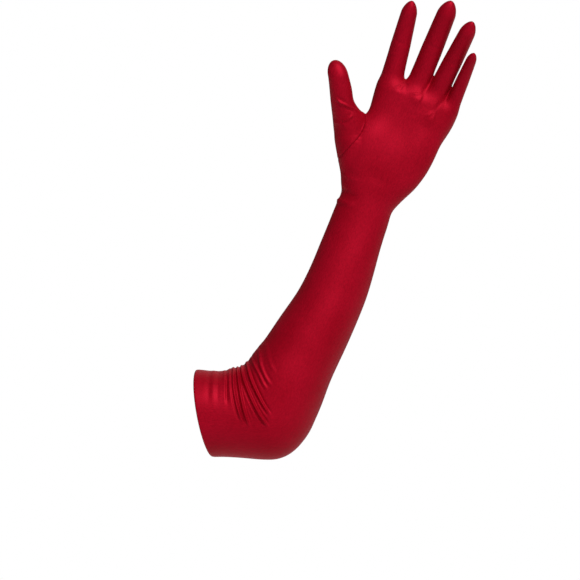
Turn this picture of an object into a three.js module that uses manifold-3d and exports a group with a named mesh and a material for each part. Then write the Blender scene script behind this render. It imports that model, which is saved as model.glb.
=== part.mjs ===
// A long stretch satin glove for the left hand, kept in the shape that it has when worn: arm opening to
// the left, elbow bent, forearm and open hand raised, palm towards -Y. Millimetres, +Z up. The origin is
// the middle of the arm opening.
import * as THREE from 'three';
import { mergeVertices } from 'three/addons/utils/BufferGeometryUtils.js';
import Module from 'manifold-3d';

const wasm = await Module();
wasm.setup();

// Cloth
const WALL = 1.2;
const TURNED_EDGE_WALL = 2.0;
const TURNED_EDGE_DEPTH = 4;
const PIECE_GAP = 0.3;

// Sleeve: a straight run from the arm opening, an arc at the elbow, a straight forearm. Widths lie in the
// XZ plane that the elbow bends in, depths along Y.
const UPPER_RUN = 44;
const ELBOW_RADIUS = 32;
const ELBOW_ANGLE = 66;
const FOREARM_RUN = 193;
const OPENING_WIDTH = 82.9;
const OPENING_DEPTH = 80;
const ELBOW_WIDTH = 94;
const ELBOW_DEPTH = 81;
const WRIST_WIDTH = 50.4;
const WRIST_DEPTH = 39;
const FOLD_HEIGHT = 2.2;

// Hand: lengths run from the wrist along the hand, widths across it, depths from the back to the palm
const HAND_LEAN = 1.3;
const PALM_LENGTH = 118;
const PALM_WIDTH = 76;
const PALM_DEPTH = 34;
const FINGER_DEPTH_RATIO = 0.95;
const MIDDLE_FINGER_LENGTH = 97;
const FINGER_SUNK = 8;
const ROOT_RISE = 6;
const FINGER_BACKSET = 2.5;
const THUMB_LENGTH = 73.6;
const THUMB_WIDTH = 20.6;
const THUMB_ANGLE = 36.9;
const THUMB_PITCH = 17;
const THUMB_ACROSS = -0.451;
const THUMB_UP = 0.434;

// Facets round each tube
const SLEEVE_SIDES = 36;
const PALM_SIDES = 30;
const THUMB_SIDES = 16;
const FINGER_SIDES = 14;

// Rings along the sleeve besides those at its edges and folds, shares of each stretch's centre line
const UPPER_RINGS = [0.13, 0.21, 0.28, 0.96];
const FOREARM_RINGS = [0.05, 0.11, 0.18, 0.26, 0.35, 0.45, 0.56, 0.68, 0.8, 0.9];

// The least half width of a ring, and the least step between a finger's rings as a share of its length
const LEAST_HALF_WIDTH = 0.2;
const FINGER_RING_STEP = 0.04;

// Sections of the upper sleeve. along: share of its centre line. shift: towards the crook of the elbow,
// share of ELBOW_WIDTH. widen: 0 at the opening's width and depth, 1 at the elbow's. lean and yaw: degrees
// that the section is turned in the elbow's plane, and with its palm side back towards the opening.
const UPPER_SECTIONS = [
  { along: 0.0, shift: 0.0, widen: 0.0, lean: 10.5, yaw: 14.0 },
  { along: 0.18, shift: -0.011, widen: -0.13, lean: 10.2, yaw: 9.0 },
  { along: 0.36, shift: -0.014, widen: 0.07, lean: 12.5, yaw: 4.5 },
  { along: 0.495, shift: -0.006, widen: 0.66, lean: 18.0, yaw: 2.0 },
  { along: 0.625, shift: -0.003, widen: 1.0, lean: 12.4, yaw: 0.5 },
  { along: 0.723, shift: 0.006, widen: 1.0, lean: 3.5, yaw: 0.0 },
  { along: 0.853, shift: 0.024, widen: 0.74, lean: -9.3, yaw: 0.0 },
  { along: 1.0, shift: 0.027, widen: 0.35, lean: -25.0, yaw: 0.0 },
];

// Folds of the crook, which run from it round both sides. along: share of the upper sleeve's centre line.
// height: share of FOLD_HEIGHT. reach: degrees round the sleeve from the crook. A fold keeps its full
// height over the first share FOLD_FULL of its reach.
const FOLD_FULL = 0.4;
const FOLDS = [
  { along: 0.352, height: 0.8, reach: 80 },
  { along: 0.5, height: 1.0, reach: 92 },
  { along: 0.59, height: 1.0, reach: 104 },
  { along: 0.69, height: 1.0, reach: 98 },
  { along: 0.79, height: 0.8, reach: 84 },
  { along: 0.91, height: 0.4, reach: 70 },
];

// Sections of the forearm sleeve. along: share of FOREARM_RUN. shift: share of ELBOW_WIDTH. narrow and
// flatten: 0 at the elbow's width and depth, 1 at the wrist's. lean: degrees.
const FOREARM_SECTIONS = [
  { along: 0.0, shift: 0.027, narrow: 0.165, flatten: 0.03, lean: -25.0 },
  { along: 0.083, shift: 0.012, narrow: 0.32, flatten: 0.09, lean: -19.0 },
  { along: 0.169, shift: -0.001, narrow: 0.484, flatten: 0.17, lean: -12.0 },
  { along: 0.327, shift: -0.026, narrow: 0.6, flatten: 0.29, lean: -4.0 },
  { along: 0.472, shift: -0.049, narrow: 0.735, flatten: 0.44, lean: -1.5 },
  { along: 0.578, shift: -0.05, narrow: 0.785, flatten: 0.57, lean: -1.4 },
  { along: 0.718, shift: -0.032, narrow: 0.856, flatten: 0.73, lean: -0.9 },
  { along: 0.824, shift: -0.014, narrow: 0.92, flatten: 0.85, lean: 0.0 },
  { along: 0.957, shift: 0.011, narrow: 0.972, flatten: 0.97, lean: 1.3 },
  { along: 1.0, shift: 0.016, narrow: 1.0, flatten: 1.0, lean: HAND_LEAN },
];

// Sections of the palm. along: share of PALM_LENGTH. thumbSide and littleSide: edges, shares of PALM_WIDTH.
// depth and forward, which is towards the palm's side: shares of PALM_DEPTH. square: power of the section.
const PALM_SECTIONS = [
  { along: 0.07, thumbSide: -0.386, littleSide: 0.366, depth: 1.12, forward: 0.01, square: 2.1 },
  { along: 0.144, thumbSide: -0.437, littleSide: 0.414, depth: 1.09, forward: 0.03, square: 2.1 },
  { along: 0.237, thumbSide: -0.53, littleSide: 0.48, depth: 1.06, forward: 0.04, square: 2.2 },
  { along: 0.38, thumbSide: -0.62, littleSide: 0.54, depth: 1.0, forward: 0.04, square: 2.2 },
  { along: 0.51, thumbSide: -0.58, littleSide: 0.56, depth: 0.94, forward: 0.03, square: 2.3 },
  { along: 0.644, thumbSide: -0.425, littleSide: 0.57, depth: 0.87, forward: 0.0, square: 2.3 },
  { along: 0.763, thumbSide: -0.412, littleSide: 0.582, depth: 0.81, forward: -0.03, square: 2.4 },
  { along: 0.864, thumbSide: -0.42, littleSide: 0.597, depth: 0.75, forward: -0.045, square: 2.6 },
  { along: 0.95, thumbSide: -0.435, littleSide: 0.612, depth: 0.68, forward: -0.045, square: 2.7 },
  { along: 1.0, thumbSide: -0.415, littleSide: 0.6, depth: 0.55, forward: -0.045, square: 2.6 },
];

// The fingers. length: share of MIDDLE_FINGER_LENGTH. across, root and tip: the middle of the root and the
// widths that the finger tapers between, shares of PALM_WIDTH, which the four fill. splay, rootCurl and
// tipCurl: degrees away from the middle line, and towards the palm.
const FINGERS = [
  {
    name: 'index_finger', length: 0.845, across: -0.289, root: 0.283, tip: 0.209,
    splay: -8.0, rootCurl: 2, tipCurl: 22,
  },
  {
    name: 'middle_finger', length: 1.0, across: 0.018, root: 0.2526, tip: 0.242,
    splay: -0.6, rootCurl: 4, tipCurl: 28,
  },
  {
    name: 'ring_finger', length: 0.928, across: 0.268, root: 0.265, tip: 0.2025,
    splay: 4.0, rootCurl: 10, tipCurl: 36,
  },
  {
    name: 'little_finger', length: 0.69, across: 0.508, root: 0.195, tip: 0.124,
    splay: 0.0, rootCurl: 15, tipCurl: 50,
  },
];

// Outline of a finger. along: share of its length. width: share of its tapering width.
const FINGER_OUTLINE = [
  { along: -0.1, width: 0.55 },
  { along: 0.0, width: 1.0 },
  { along: 0.15, width: 1.0 },
  { along: 0.3, width: 0.99 },
  { along: 0.45, width: 1.0 },
  { along: 0.6, width: 0.97 },
  { along: 0.74, width: 0.95 },
  { along: 0.84, width: 0.9 },
  { along: 0.91, width: 0.79 },
  { along: 0.96, width: 0.6 },
  { along: 0.99, width: 0.32 },
];

// Sections of the thumb from its seam. along, shift and forward: shares of THUMB_LENGTH. width and depth:
// shares of THUMB_WIDTH. turn: degrees that the section is turned towards the seam. The sections tip
// forward little by little up to THUMB_PITCH, which they reach at the share THUMB_PITCHED.
const THUMB_PITCHED = 0.3;
const THUMB_SECTIONS = [
  { along: 0.0, shift: 0.0, forward: 0.04, width: 2.46, depth: 1.5, turn: 46.9 },
  { along: 0.164, shift: -0.034, forward: 0.08, width: 1.75, depth: 1.3, turn: 36.3 },
  { along: 0.325, shift: -0.041, forward: 0.12, width: 1.3, depth: 1.15, turn: 26.5 },
  { along: 0.4375, shift: -0.037, forward: 0.156, width: 1.126, depth: 1.05, turn: 18.6 },
  { along: 0.643, shift: -0.012, forward: 0.217, width: 1.0, depth: 0.95, turn: -3.2 },
  { along: 0.793, shift: -0.001, forward: 0.258, width: 0.927, depth: 0.85, turn: -4.7 },
  { along: 0.9, shift: -0.008, forward: 0.288, width: 0.76, depth: 0.67, turn: 0.0 },
  { along: 0.965, shift: -0.006, forward: 0.304, width: 0.47, depth: 0.42, turn: 0.0 },
];
const THUMB_SOCKET = { along: -0.22, shift: 0.0, forward: 0.0, width: 2.0, depth: 0.9, turn: 46.9 };

// Materials
const SATIN = { color: 0x9a0622, roughness: 0.42, metalness: 0.0 };
const THUMB_SATIN = { color: 0xa40a28, roughness: 0.42, metalness: 0.0 };

const radians = THREE.MathUtils.degToRad;
const mix = THREE.MathUtils.lerp;

// A smooth curve through one column of a table
function column(rows, key, along) {
  const last = rows.length - 1;
  let i = 0;
  while (i < last - 1 && along > rows[i + 1].along) i += 1;
  const slope = (k) => {
    const a = rows[Math.max(k - 1, 0)];
    const b = rows[Math.min(k + 1, last)];
    return (b[key] - a[key]) / (b.along - a.along);
  };
  const a = rows[i];
  const b = rows[i + 1];
  const step = b.along - a.along;
  const t = Math.min(Math.max((along - a.along) / step, 0), 1);
  const h = t * t * (3 - 2 * t);
  const rise = step * (slope(i) * t * (1 - t) * (1 - t) - slope(i + 1) * t * t * (1 - t));
  return a[key] * (1 - h) + b[key] * h + rise;
}

// A ring of points: a superellipse in the plane of two unit vectors
function ring(section, sides, inset) {
  const { centre, across, deep, width, depth, square = 2, swell = () => 0 } = section;
  const points = [];
  for (let i = 0; i < sides; i += 1) {
    const angle = (2 * Math.PI * i) / sides;
    const c = Math.cos(angle);
    const s = Math.sin(angle);
    const extra = swell(angle) - inset;
    const x = Math.sign(c) * Math.abs(c) ** (2 / square) * Math.max(width / 2 + extra, LEAST_HALF_WIDTH);
    const y = Math.sign(s) * Math.abs(s) ** (2 / square) * Math.max(depth / 2 + extra, LEAST_HALF_WIDTH);
    points.push(centre.clone().addScaledVector(across, x).addScaledVector(deep, y));
  }
  return points;
}

// A closed body skinned over a list of rings. An end is a flat cap, or a tip point, or, for a wall whose
// inner rings follow its outer ones, the first ring again.
function skin(rings, { startTip, endTip, closed = false } = {}) {
  const sides = rings[0].length;
  const points = rings.flat();
  const faces = [];
  const link = (p, q) => {
    for (let i = 0; i < sides; i += 1) {
      const j = (i + 1) % sides;
      faces.push(p * sides + i, p * sides + j, q * sides + i);
      faces.push(p * sides + j, q * sides + j, q * sides + i);
    }
  };
  const middle = (loop) => loop.reduce((sum, p) => sum.add(p), new THREE.Vector3()).divideScalar(sides);
  const cap = (r, tip, forwards) => {
    points.push(tip ?? middle(rings[r]));
    const hub = points.length - 1;
    for (let i = 0; i < sides; i += 1) {
      const j = (i + 1) % sides;
      if (forwards) faces.push(r * sides + i, r * sides + j, hub);
      else faces.push(r * sides + j, r * sides + i, hub);
    }
  };
  for (let r = 0; r + 1 < rings.length; r += 1) link(r, r + 1);
  if (closed) {
    link(rings.length - 1, 0);
  } else {
    cap(0, startTip, false);
    cap(rings.length - 1, endTip, true);
  }
  const geometry = new THREE.BufferGeometry();
  geometry.setAttribute('position', new THREE.Float32BufferAttribute(points.flatMap((p) => p.toArray()), 3));
  geometry.setIndex(faces);
  if (volume(geometry) < 0) {
    const index = geometry.getIndex();
    for (let k = 0; k < index.count; k += 3) {
      const keep = index.getX(k);
      index.setX(k, index.getX(k + 1));
      index.setX(k + 1, keep);
    }
  }
  return geometry;
}

function volume(geometry) {
  const position = geometry.getAttribute('position');
  const index = geometry.getIndex();
  const corner = (k) => new THREE.Vector3().fromBufferAttribute(position, index.getX(k));
  let sum = 0;
  for (let k = 0; k < index.count; k += 3) {
    sum += corner(k).dot(corner(k + 1).cross(corner(k + 2))) / 6;
  }
  return sum;
}

// Booleans
function solid(geometry) {
  const plain = geometry.clone();
  plain.deleteAttribute('normal');
  plain.deleteAttribute('uv');
  const merged = mergeVertices(plain, 1e-4);
  return new wasm.Manifold(new wasm.Mesh({
    numProp: 3,
    vertProperties: new Float32Array(merged.getAttribute('position').array),
    triVerts: new Uint32Array(merged.getIndex().array),
  }));
}

function geometryOf(manifold) {
  const mesh = manifold.getMesh();
  const geometry = new THREE.BufferGeometry();
  geometry.setAttribute('position', new THREE.BufferAttribute(new Float32Array(mesh.vertProperties), 3));
  geometry.setIndex(new THREE.BufferAttribute(new Uint32Array(mesh.triVerts), 1));
  return geometry;
}

function mesh(name, geometry, look) {
  geometry.computeVertexNormals();
  const made = new THREE.Mesh(geometry, new THREE.MeshStandardMaterial(look));
  made.name = name;
  return made;
}

// The sleeve's centre line in the XZ plane: a point and its direction, a length along it
const ELBOW_ARC = ELBOW_RADIUS * radians(ELBOW_ANGLE);
const UPPER_LENGTH = UPPER_RUN + ELBOW_ARC;

function centreLine(length) {
  const turned = Math.min(Math.max((length - UPPER_RUN) / ELBOW_RADIUS, 0), radians(ELBOW_ANGLE));
  const before = Math.min(length, UPPER_RUN);
  const after = Math.max(length - UPPER_LENGTH, 0);
  const x = before + ELBOW_RADIUS * Math.sin(turned) + after * Math.cos(turned);
  const z = ELBOW_RADIUS * (1 - Math.cos(turned)) + after * Math.sin(turned);
  return { point: new THREE.Vector3(x, 0, z), heading: turned };
}

// A section across the sleeve. Its across vector points to the crook, its deep vector to the back.
function sleeveSection(length, row) {
  const { point, heading } = centreLine(length);
  const crook = new THREE.Vector3(-Math.sin(heading), 0, Math.cos(heading));
  const tilt = heading + radians(row.lean);
  const onwards = new THREE.Vector3(Math.cos(tilt), 0, Math.sin(tilt));
  return {
    centre: point.addScaledVector(crook, row.shift * ELBOW_WIDTH),
    across: new THREE.Vector3(-Math.sin(tilt), 0, Math.cos(tilt)),
    deep: tipped(new THREE.Vector3(0, 1, 0), onwards, row.yaw),
    width: row.width,
    depth: row.depth,
    swell: row.swell,
  };
}

// Half the distance from a fold's crest to the next one, on the side of the given place
function foldReach(i, along) {
  const side = along < FOLDS[i].along ? -1 : 1;
  const next = FOLDS[i + side] ?? FOLDS[i - side];
  return Math.abs(next.along - FOLDS[i].along) / 2;
}

// How far the folds stand out at a place on the upper sleeve
function foldSwell(along, angle) {
  const fromCrook = THREE.MathUtils.radToDeg(Math.acos(Math.cos(angle)));
  let height = 0;
  FOLDS.forEach((fold, i) => {
    const away = Math.min(Math.abs(along - fold.along) / foldReach(i, along), 1);
    const fade = 1 - THREE.MathUtils.smoothstep(fromCrook, FOLD_FULL * fold.reach, fold.reach);
    height += fold.height * FOLD_HEIGHT * 0.5 * (1 + Math.cos(Math.PI * away)) * fade;
  });
  return height;
}

function upperSection(along) {
  const widen = column(UPPER_SECTIONS, 'widen', along);
  return sleeveSection(along * UPPER_LENGTH, {
    shift: column(UPPER_SECTIONS, 'shift', along),
    lean: column(UPPER_SECTIONS, 'lean', along),
    yaw: column(UPPER_SECTIONS, 'yaw', along),
    width: mix(OPENING_WIDTH, ELBOW_WIDTH, widen),
    depth: mix(OPENING_DEPTH, ELBOW_DEPTH, widen),
    swell: (angle) => foldSwell(along, angle),
  });
}

function forearmSection(along) {
  return sleeveSection(UPPER_LENGTH + along * FOREARM_RUN, {
    shift: column(FOREARM_SECTIONS, 'shift', along),
    lean: column(FOREARM_SECTIONS, 'lean', along),
    yaw: 0,
    width: mix(ELBOW_WIDTH, WRIST_WIDTH, column(FOREARM_SECTIONS, 'narrow', along)),
    depth: mix(ELBOW_DEPTH, WRIST_DEPTH, column(FOREARM_SECTIONS, 'flatten', along)),
  });
}

// A hollow tube, open at both ends, through a list of sections
function openTube(sections, sides, wallAt = () => WALL) {
  const outer = sections.map((section) => ring(section, sides, 0));
  const inner = sections.map((section, i) => ring(section, sides, wallAt(i)));
  return skin([...outer, ...inner.reverse()], { closed: true });
}

// Upper sleeve: rings at the turned edge, on each fold's crest and between the crests
function upperSleeve() {
  const edge = TURNED_EDGE_DEPTH / UPPER_LENGTH;
  const crests = FOLDS.map((fold) => fold.along);
  const valleys = crests.slice(1).map((along, i) => (along + crests[i]) / 2);
  const pastEdge = edge + WALL / UPPER_LENGTH;
  const plain = [0, edge, pastEdge, ...UPPER_RINGS, 1 - PIECE_GAP / UPPER_LENGTH];
  const alongs = [...plain, ...crests, ...valleys].sort((p, q) => p - q);
  const wallAt = (i) => (alongs[i] <= edge ? TURNED_EDGE_WALL : WALL);
  return openTube(alongs.map(upperSection), SLEEVE_SIDES, wallAt);
}

function forearmSleeve() {
  const alongs = [0, ...FOREARM_RINGS, 1 - PIECE_GAP / FOREARM_RUN];
  return openTube(alongs.map(forearmSection), SLEEVE_SIDES);
}

// The hand's own frame: right is towards the little finger, up along the hand, back away from the palm
const wrist = forearmSection(1);
const right = wrist.across.clone().negate();
const up = new THREE.Vector3(-right.z, 0, right.x);
const back = new THREE.Vector3(0, 1, 0);

function inHand(u, v, y) {
  return wrist.centre.clone().addScaledVector(right, u).addScaledVector(up, v).addScaledVector(back, y);
}

// A direction in the hand's plane, turned from right towards up
function turnedInHand(degrees) {
  return right.clone().multiplyScalar(Math.cos(radians(degrees)))
    .addScaledVector(up, Math.sin(radians(degrees)));
}

// A direction tipped from one unit vector towards another
function tipped(from, towards, degrees) {
  return from.clone().multiplyScalar(Math.cos(radians(degrees)))
    .addScaledVector(towards, Math.sin(radians(degrees)));
}

function palmSection(row) {
  const middle = (row.thumbSide + row.littleSide) / 2;
  return {
    centre: inHand(middle * PALM_WIDTH, row.along * PALM_LENGTH, -row.forward * PALM_DEPTH),
    across: right,
    deep: back,
    width: (row.littleSide - row.thumbSide) * PALM_WIDTH,
    depth: row.depth * PALM_DEPTH,
    square: row.square,
  };
}

// A finger: its centre line starts in the palm, splays to the side and curls towards the palm
function fingerSection(finger, along) {
  const length = finger.length * MIDDLE_FINGER_LENGTH;
  const bend = (finger.tipCurl - finger.rootCurl) * along;
  const chord = bend === 0 ? 1 : Math.sin(radians(bend / 2)) / radians(bend / 2);
  const slope = radians(finger.rootCurl + bend / 2);
  const rise = along * length * chord * Math.cos(slope);
  const forward = along * length * chord * Math.sin(slope);
  const ahead = turnedInHand(90 - finger.splay);
  const root = inHand(finger.across * PALM_WIDTH, PALM_LENGTH - FINGER_SUNK, FINGER_BACKSET);
  const width = mix(finger.root, finger.tip, along) * PALM_WIDTH * column(FINGER_OUTLINE, 'width', along);
  return {
    centre: root.addScaledVector(ahead, rise).addScaledVector(back, -forward),
    across: turnedInHand(-finger.splay),
    deep: tipped(back, ahead, finger.rootCurl + bend),
    width,
    depth: width * FINGER_DEPTH_RATIO,
  };
}

// Where a finger's piece begins, as a share of its centre line
function fingerRoot(finger, past) {
  const length = finger.length * MIDDLE_FINGER_LENGTH;
  return (FINGER_SUNK + ROOT_RISE + past) / (length * Math.cos(radians(finger.rootCurl)));
}

function fingerPiece(finger) {
  const root = fingerRoot(finger, 0);
  const past = root + FINGER_RING_STEP;
  const alongs = [root, ...FINGER_OUTLINE.map((row) => row.along).filter((along) => along > past)];
  const sections = alongs.map((along) => fingerSection(finger, along));
  const innerTip = 1 - WALL / (finger.length * MIDDLE_FINGER_LENGTH);
  const innerLast = innerTip - WALL / (finger.length * MIDDLE_FINGER_LENGTH);
  const innerSections = alongs.map((along) => fingerSection(finger, Math.min(along, innerLast)));
  const outer = sections.map((section) => ring(section, FINGER_SIDES, 0));
  const inner = innerSections.map((section) => ring(section, FINGER_SIDES, WALL));
  return skin([...outer.reverse(), ...inner], {
    startTip: fingerSection(finger, 1).centre,
    endTip: fingerSection(finger, innerTip).centre,
  });
}

// The stretch of a finger's tube inside the palm, up to past its root
function fingerStub(finger, inset, past) {
  const alongs = [-FINGER_SUNK / (finger.length * MIDDLE_FINGER_LENGTH), 0, fingerRoot(finger, past)];
  return skin(alongs.map((along) => ring(fingerSection(finger, along), FINGER_SIDES, inset)));
}

// The thumb: its centre line leans away from the fingers and forward of the palm
function thumbSection(row) {
  const ahead = turnedInHand(90 + THUMB_ANGLE);
  const aside = turnedInHand(THUMB_ANGLE);
  const pitch = THUMB_PITCH * Math.min(Math.max(row.along / THUMB_PITCHED, 0), 1);
  return {
    centre: inHand(THUMB_ACROSS * PALM_WIDTH, THUMB_UP * PALM_LENGTH, -row.forward * THUMB_LENGTH)
      .addScaledVector(ahead, row.along * THUMB_LENGTH)
      .addScaledVector(aside, row.shift * THUMB_LENGTH),
    across: turnedInHand(THUMB_ANGLE + row.turn),
    deep: tipped(back, ahead, pitch),
    width: row.width * THUMB_WIDTH,
    depth: row.depth * THUMB_WIDTH,
  };
}

function thumbPiece() {
  const end = THUMB_SECTIONS[THUMB_SECTIONS.length - 1];
  const outer = THUMB_SECTIONS.map((row) => ring(thumbSection(row), THUMB_SIDES, 0));
  const inner = THUMB_SECTIONS.map((row) => ring(thumbSection(row), THUMB_SIDES, WALL));
  const tip = (inset) => thumbSection({ ...end, along: 1 - inset / THUMB_LENGTH }).centre;
  return skin([...outer.reverse(), ...inner], { startTip: tip(0), endTip: tip(WALL) });
}

// The thumb's mouth in the palm, from inside the palm to past the seam
function thumbStub(inset, past) {
  const seam = THUMB_SECTIONS[0];
  const rows = [THUMB_SOCKET, seam, { ...seam, along: seam.along + past / THUMB_LENGTH }];
  return skin(rows.map((row) => ring(thumbSection(row), THUMB_SIDES, inset)));
}

// A block whose face is the thumb's seam, a gap away, and which takes in all on the thumb's side of it
function thumbSideBlock() {
  const seam = thumbSection(THUMB_SECTIONS[0]);
  const outwards = turnedInHand(THUMB_ANGLE + THUMB_SECTIONS[0].turn + 90);
  const block = new THREE.BoxGeometry(THUMB_LENGTH, seam.width + 2 * WALL, 2 * PALM_DEPTH);
  const place = new THREE.Matrix4().makeBasis(outwards, seam.across, back);
  place.setPosition(seam.centre.clone().addScaledVector(outwards, THUMB_LENGTH / 2 - PIECE_GAP));
  return block.applyMatrix4(place);
}

function palmPiece() {
  const atWrist = { ...wrist, across: right, square: 2 };
  const below = { ...atWrist, centre: inHand(0, -3 * WALL, 0) };
  const rows = PALM_SECTIONS.map(palmSection);
  const top = rows[rows.length - 1];
  const innerTop = { ...top, centre: top.centre.clone().addScaledVector(up, -WALL) };
  let outer = solid(skin([atWrist, ...rows].map((section) => ring(section, PALM_SIDES, 0))));
  let inner = solid(skin([below, atWrist, ...rows.slice(0, -1), innerTop]
    .map((section) => ring(section, PALM_SIDES, WALL))));
  FINGERS.forEach((finger) => {
    outer = outer.add(solid(fingerStub(finger, 0, -PIECE_GAP)));
    inner = inner.add(solid(fingerStub(finger, WALL, 2 * WALL)));
  });
  outer = outer.add(solid(thumbStub(0, WALL))).subtract(solid(thumbSideBlock()));
  inner = inner.add(solid(thumbStub(WALL, 3 * WALL)));
  return geometryOf(outer.subtract(inner));
}

const group = new THREE.Group();
group.add(mesh('upper_sleeve', upperSleeve(), SATIN));
group.add(mesh('forearm_sleeve', forearmSleeve(), SATIN));
group.add(mesh('palm', palmPiece(), SATIN));
group.add(mesh('thumb', thumbPiece(), THUMB_SATIN));
FINGERS.forEach((finger) => group.add(mesh(finger.name, fingerPiece(finger), SATIN)));

export default group;
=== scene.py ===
import math

import bmesh
import bpy
import numpy as np
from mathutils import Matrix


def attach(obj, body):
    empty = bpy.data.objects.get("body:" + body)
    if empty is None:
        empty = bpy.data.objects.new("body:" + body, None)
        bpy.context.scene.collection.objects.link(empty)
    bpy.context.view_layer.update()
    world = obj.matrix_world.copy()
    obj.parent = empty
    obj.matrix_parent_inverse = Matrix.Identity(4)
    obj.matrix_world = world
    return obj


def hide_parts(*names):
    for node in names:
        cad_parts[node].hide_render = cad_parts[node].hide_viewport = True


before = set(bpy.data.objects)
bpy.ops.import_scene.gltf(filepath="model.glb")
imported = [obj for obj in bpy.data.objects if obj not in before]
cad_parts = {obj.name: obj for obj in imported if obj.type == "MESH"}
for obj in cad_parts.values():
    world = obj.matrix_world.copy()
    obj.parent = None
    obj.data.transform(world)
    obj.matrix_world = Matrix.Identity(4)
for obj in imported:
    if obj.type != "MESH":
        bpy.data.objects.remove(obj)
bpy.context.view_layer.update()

import openvdb
from mathutils import Vector

MM = 0.001

# The centre line: a straight run from the arm opening, an arc at the elbow, a straight forearm, and the
# hand, which leans a little away from the forearm
UPPER_RUN = 44.0
ELBOW_RADIUS = 32.0
ELBOW_ANGLE = 66.0
FOREARM_RUN = 193.0
HAND_LEAN = 1.3
PALM_LENGTH = 118.0
UPPER_LENGTH = UPPER_RUN + ELBOW_RADIUS * math.radians(ELBOW_ANGLE)
WRIST_AT = UPPER_LENGTH + FOREARM_RUN
WRIST_SHIFT = 1.5

# Cloth. The gaps and the room set its inner surface further in, so that no fold dips through it.
CLOTH = 0.9
TURNED_EDGE = 1.8
TURNED_EDGE_DEPTH = 4.0
EDGE_ROUNDING = 0.35
EDGE_ROUNDING_DEPTH = 1.5
SLEEVE_GAP = 0.5
HAND_GAP = 0.4
FOLD_ROOM = 1.1
HAND_DIP = 0.55

# Mesh sizes
SLEEVE_SIDES = 168
INNER_SIDES = 84
HAND_VOXEL = 1.08
INNER_VOXEL = 2.6
JOIN_ABOVE_WRIST = 12.0
CLEAR_OF_SEAM = 9.0
HAND_LOW = (-104.0, -8.0, -66.0)
HAND_HIGH = (66.0, 222.0, 30.0)


def table(names, rows):
    return dict(zip(names.split(), np.array(rows, float).T))


# Sections of the sleeve and the palm. at: length along the centre line. thumb and little: how far the
# section reaches to the crook and thumb side, and to the elbow and little finger side. depth and forward:
# from the palm's side to the back, and its middle's place towards the palm. tilt: degrees of the section
# from upright. yaw: degrees that its palm side is turned back towards the opening. square: its roundness,
# 2 for an oval and more for fuller corners.
SECTIONS = table("at thumb little depth forward tilt yaw square", [
    (0.0, 41.4, 41.5, 80.0, 0.0, 10.5, 11.0, 2.0),
    (14.6, 39.7, 41.8, 79.9, 0.0, 10.2, 7.0, 2.0),
    (29.1, 40.5, 43.2, 80.1, 0.0, 12.5, 3.5, 2.0),
    (40.0, 44.5, 45.7, 80.7, 0.0, 18.0, 1.5, 2.0),
    (50.5, 46.7, 47.3, 81.0, 0.0, 24.0, 0.5, 2.0),
    (58.5, 47.6, 46.4, 81.0, 0.0, 29.5, 0.0, 2.0),
    (69.0, 47.8, 43.3, 80.7, 0.0, 35.5, 0.0, 2.0),
    (80.9, 45.9, 40.9, 80.0, 0.0, 41.0, 0.0, 2.0),
    (96.9, 41.2, 38.9, 77.2, 0.0, 47.0, 0.0, 2.0),
    (113.5, 36.4, 36.5, 73.9, 0.0, 54.0, 0.0, 2.0),
    (144.0, 31.5, 36.3, 68.8, 0.0, 62.0, 0.0, 2.0),
    (172.0, 26.4, 35.6, 62.5, 0.0, 64.5, 0.0, 2.0),
    (192.4, 25.2, 34.6, 57.1, 0.0, 64.6, 0.0, 2.0),
    (219.4, 25.4, 31.3, 50.3, 0.0, 65.1, 0.0, 2.0),
    (239.9, 25.7, 28.3, 45.3, 0.0, 66.0, 0.0, 2.0),
    (265.6, 26.8, 24.8, 40.3, 0.0, 67.3, 0.0, 2.0),
    (273.9, 26.7, 23.7, 39.0, 0.0, 67.3, 0.0, 2.0),
    (282.1, 30.8, 26.3, 38.1, 0.3, 67.3, 0.0, 2.1),
    (290.9, 34.7, 30.0, 37.1, 1.0, 67.3, 0.0, 2.1),
    (301.8, 40.5, 35.0, 36.0, 1.4, 67.3, 0.0, 2.2),
    (318.7, 46.5, 39.5, 34.0, 1.4, 67.3, 0.0, 2.2),
    (334.0, 44.5, 41.1, 32.0, 1.0, 67.3, 0.0, 2.3),
    (349.9, 33.5, 41.4, 29.6, 0.0, 67.3, 0.0, 2.3),
    (363.9, 32.2, 41.3, 27.5, -1.0, 67.3, 0.0, 2.4),
    (375.8, 32.0, 41.2, 25.5, -1.5, 67.3, 0.0, 2.5),
    (386.0, 33.0, 41.8, 24.0, -1.5, 67.3, 0.0, 2.5),
    (391.9, 33.0, 41.8, 23.0, -1.5, 67.3, 0.0, 2.5),
])
SECTION_SOFTNESS = 3.0
PALM_TOP = 14.0

# The fingers. across: middle of the root. root and tip: the widths that the finger tapers between.
# splay: away from the middle line. root_curl and tip_curl: towards the palm.
FINGER_SUNK = 8.0
FINGER_BACKSET = 3.2
FINGER_DEPTH_RATIO = 0.95
FINGERS = {
    "index": dict(across=-22.0, length=82.0, root=21.5, tip=15.2, splay=-8.0, root_curl=2.0, tip_curl=22.0),
    "middle": dict(across=1.7, length=97.0, root=21.2, tip=18.6, splay=-0.6, root_curl=4.0, tip_curl=28.0),
    "ring": dict(across=20.4, length=90.0, root=20.1, tip=15.4, splay=4.0, root_curl=10.0, tip_curl=36.0),
    "little": dict(across=38.6, length=66.9, root=14.8, tip=9.6, splay=0.0, root_curl=15.0, tip_curl=50.0),
}
FINGER_OUTLINE = table("at width", [
    (-0.1, 1.0), (0.0, 1.0), (0.15, 1.0), (0.3, 0.99), (0.45, 1.0), (0.6, 0.98), (0.72, 0.965), (0.84, 0.94),
])
FINGER_TIP_FROM = 0.84
FINGER_TIP_POWER = 1.7
FINGER_TAIL_FROM = 8.0
FINGER_TAIL = 24.0

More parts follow.
